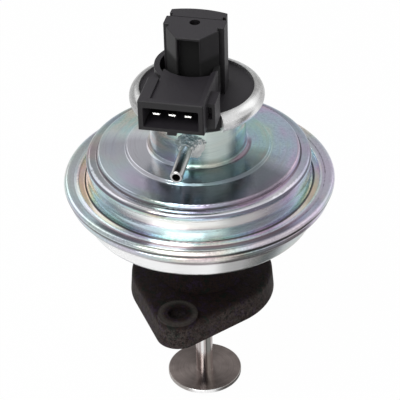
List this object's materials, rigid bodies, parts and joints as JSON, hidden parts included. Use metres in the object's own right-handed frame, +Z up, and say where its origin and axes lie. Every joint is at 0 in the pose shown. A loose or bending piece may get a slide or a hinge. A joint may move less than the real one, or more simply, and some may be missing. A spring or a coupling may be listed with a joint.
{
  "type": "egr valve",
  "caption": "Vacuum-operated exhaust gas recirculation valve: a spring-loaded diaphragm lifts a stem and disc, and a plunger sensor on top reads the lift.",
  "frame": {"origin": "centre of the flange's mounting face, on the stem's axis", "axes": "+Z runs up the stem from the flange to the sensor, the flange's two bolt holes lie on Y, and the front lobe, under the connector and the vacuum nipple, is at -Y"},
  "size_m": [0.09, 0.09, 0.1443],
  "materials": {
    "cast_iron": "sand-cast, dark and slightly brown",
    "zinc_bright": "zinc-plated pressing, bright",
    "zinc_passivated": "zinc-plated pressing with iridescent passivation",
    "ring_steel": "satin plated steel",
    "plated_steel": "zinc-plated steel",
    "braze": "brazed fillet, flowed and bright",
    "bronze": "sintered",
    "graphite": "pressed graphite",
    "nitrile": "fabric-reinforced rubber",
    "spring_steel": "drawn spring wire",
    "stem_steel": "ground",
    "disc_steel": "turned",
    "black_plastic": "glass-filled, fine matt texture",
    "terminal_tin": "tinned",
    "card_ceramic": "ceramic card with resistive tracks",
    "carrier_plastic": "natural acetal",
    "wiper_bronze": "spring bronze"
  },
  "bodies": {
    "valve_body": {"flange_casting": "cast_iron", "lower_shell": "zinc_bright", "upper_shell": "zinc_passivated", "crimp_ring": "ring_steel", "seal_retainer": "plated_steel", "shell_rivets": "plated_steel", "spring_seat": "plated_steel", "vacuum_nipple": "plated_steel", "nipple_braze": "braze", "stem_guide": "bronze", "stem_seal": "graphite", "shell_gasket": "graphite", "diaphragm": "nitrile", "sensor_seal": "nitrile", "return_spring": "spring_steel", "plunger_spring": "spring_steel", "sensor_housing": "black_plastic", "sensor_cover": "black_plastic", "terminal_1": "terminal_tin", "terminal_2": "terminal_tin", "terminal_3": "terminal_tin", "resistor_card": "card_ceramic"},
    "lifting_valve": {"valve_stem": "stem_steel", "valve_disc": "disc_steel", "lower_plate": "plated_steel", "diaphragm_cup": "plated_steel", "stem_nut": "plated_steel"},
    "sensor_follower": {"sensor_plunger": "stem_steel", "wiper_carrier": "carrier_plastic", "wiper_contacts": "wiper_bronze"}
  },
  "joints": [
    {"name": "valve_lift", "type": "slide", "parent": "valve_body", "child": "lifting_valve", "axis": [0, 0, 1], "range_m": [0, 0.007], "stiffness_N_per_m": 5000, "springref_m": -0.008, "deforming": ["return_spring", "diaphragm"]},
    {"name": "sensor_follow", "type": "slide", "parent": "valve_body", "child": "sensor_follower", "axis": [0, 0, 1], "range_m": [0, 0.0072], "stiffness_N_per_m": 400, "springref_m": -0.01, "deforming": ["plunger_spring"]}
  ],
  "couplings": [
    {"joint": "sensor_follow", "follows": "valve_lift", "ratio": 1}
  ]
}
